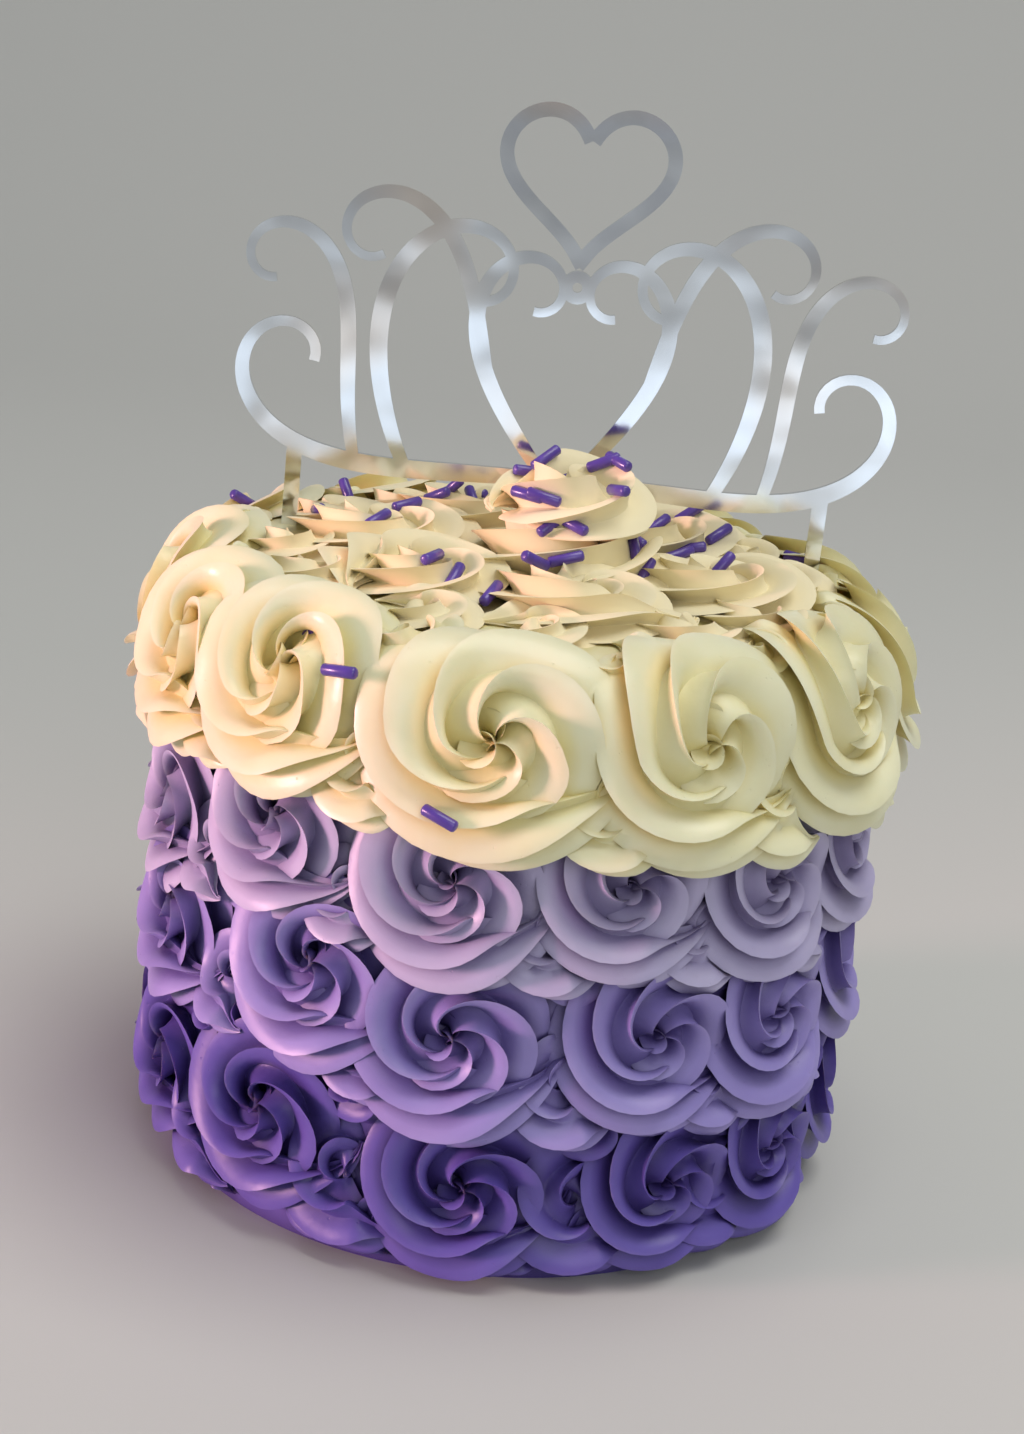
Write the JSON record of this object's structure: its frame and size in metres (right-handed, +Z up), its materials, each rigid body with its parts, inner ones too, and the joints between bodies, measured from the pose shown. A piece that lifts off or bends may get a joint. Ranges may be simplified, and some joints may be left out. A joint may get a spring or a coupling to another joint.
{
  "type": "cake",
  "caption": "Round celebration cake piped all over with buttercream rosettes, cream over three shades of purple, with sprinkles and an upright mirror topper.",
  "frame": {"origin": "middle of the underside, where the cake stands", "axes": "+Z up along the cake's axis, -Y towards the front that the picture shows, +X to the right; the topper's plate lies parallel to X and Z"},
  "size_m": [0.1884, 0.1884, 0.2535],
  "materials": {
    "sponge": "open chocolate crumb, dull",
    "indigo_buttercream": "satin buttercream, deep indigo",
    "violet_buttercream": "satin buttercream, mid violet",
    "lavender_buttercream": "satin buttercream, pale lavender",
    "cream_buttercream": "satin buttercream, pale yellow cream",
    "sprinkles": "polished sugar strands, dark violet",
    "mirror_plate": "silver mirror acrylic"
  },
  "bodies": {
    "root": {"sponge": "sponge", "icing_indigo": "indigo_buttercream", "icing_violet": "violet_buttercream", "icing_lavender": "lavender_buttercream", "icing_cream": "cream_buttercream", "topper": "mirror_plate"}
  },
  "joints": []
}
